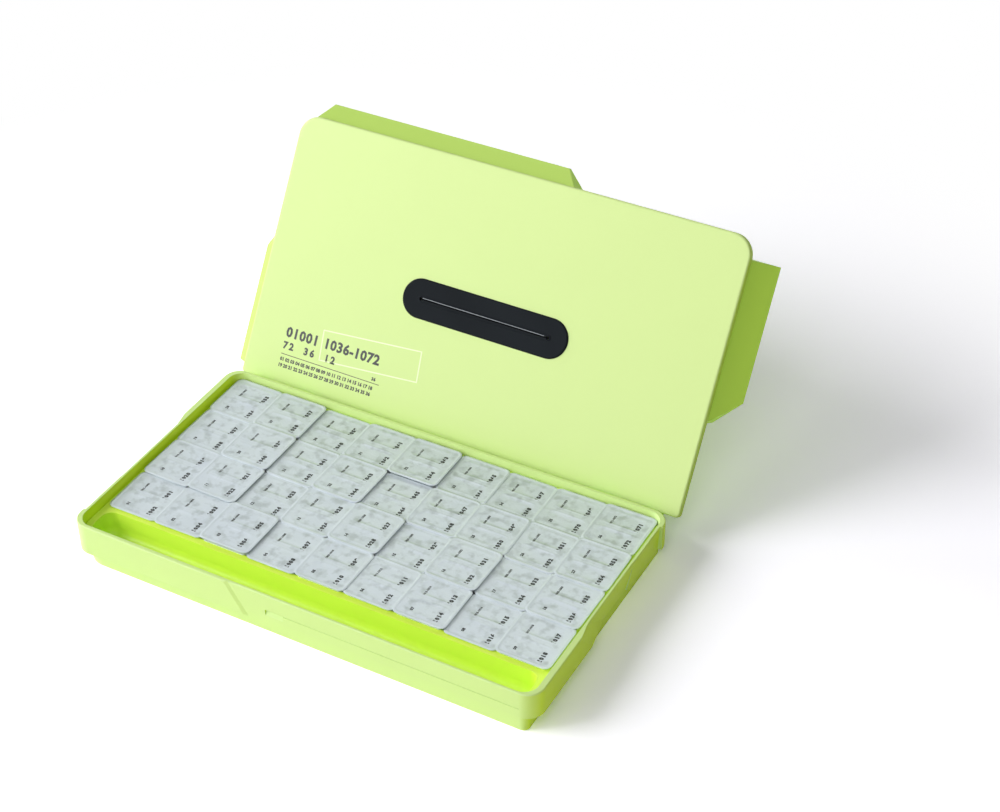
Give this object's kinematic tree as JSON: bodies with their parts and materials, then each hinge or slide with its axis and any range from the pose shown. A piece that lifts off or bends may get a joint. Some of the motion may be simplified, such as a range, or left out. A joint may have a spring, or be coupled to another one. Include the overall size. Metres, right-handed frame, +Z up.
{
  "type": "gouache paint set box",
  "caption": "Shallow hinged paint case with a lift-out tray of twin paint cups under peel films, a brush trough and a lid compartment behind a slit outlet.",
  "frame": {"origin": "middle of the base's underside, on the table", "axes": "+X to the user's right along the long side, +Y to the back where the hinge is, +Z up"},
  "size_m": [0.381, 0.3305, 0.1834],
  "materials": {
    "case_green": "satin moulded plastic",
    "tray_green": "satin moulded plastic",
    "panel_green": "soft satin moulded plastic",
    "rubber_black": "matte moulded rubber",
    "pin_steel": "drawn wire",
    "cup_white": "thin moulded plastic",
    "film_silver": "silvered peel film",
    "paint_row_1": "moist paint",
    "paint_row_2": "moist paint",
    "paint_row_3": "moist paint",
    "paint_row_4": "moist paint"
  },
  "bodies": {
    "base": {"base_shell": "case_green", "hinge_pin_left": "pin_steel", "hinge_pin_right": "pin_steel", "inner_tray": "tray_green", "twin_cup_01": "cup_white", "twin_cup_02": "cup_white", "twin_cup_03": "cup_white", "twin_cup_04": "cup_white", "twin_cup_05": "cup_white", "twin_cup_06": "cup_white", "twin_cup_07": "cup_white", "twin_cup_08": "cup_white", "twin_cup_09": "cup_white", "twin_cup_10": "cup_white", "twin_cup_11": "cup_white", "twin_cup_12": "cup_white", "twin_cup_13": "cup_white", "twin_cup_14": "cup_white", "twin_cup_15": "cup_white", "twin_cup_16": "cup_white", "twin_cup_17": "cup_white", "twin_cup_18": "cup_white", "twin_cup_19": "cup_white", "twin_cup_20": "cup_white", "twin_cup_21": "cup_white", "twin_cup_22": "cup_white", "twin_cup_23": "cup_white", "twin_cup_24": "cup_white", "twin_cup_25": "cup_white", "twin_cup_26": "cup_white", "twin_cup_27": "cup_white", "twin_cup_28": "cup_white", "twin_cup_29": "cup_white", "twin_cup_30": "cup_white", "twin_cup_31": "cup_white", "twin_cup_32": "cup_white", "twin_cup_33": "cup_white", "twin_cup_34": "cup_white", "twin_cup_35": "cup_white", "twin_cup_36": "cup_white", "peel_films_row_1": "film_silver", "peel_films_row_2": "film_silver", "peel_films_row_3": "film_silver", "peel_films_row_4": "film_silver", "paint_fills_row_1": "paint_row_1", "paint_fills_row_2": "paint_row_2", "paint_fills_row_3": "paint_row_3", "paint_fills_row_4": "paint_row_4"},
    "lid": {"lid_shell": "case_green", "lid_panel": "panel_green", "slit_grommet": "rubber_black"}
  },
  "joints": [
    {"name": "lid_hinge", "type": "hinge", "parent": "base", "child": "lid", "pos_m": [0, 0.098, 0.0243], "axis": [-1, 0, 0], "range_deg": [-122.6, 0]}
  ]
}
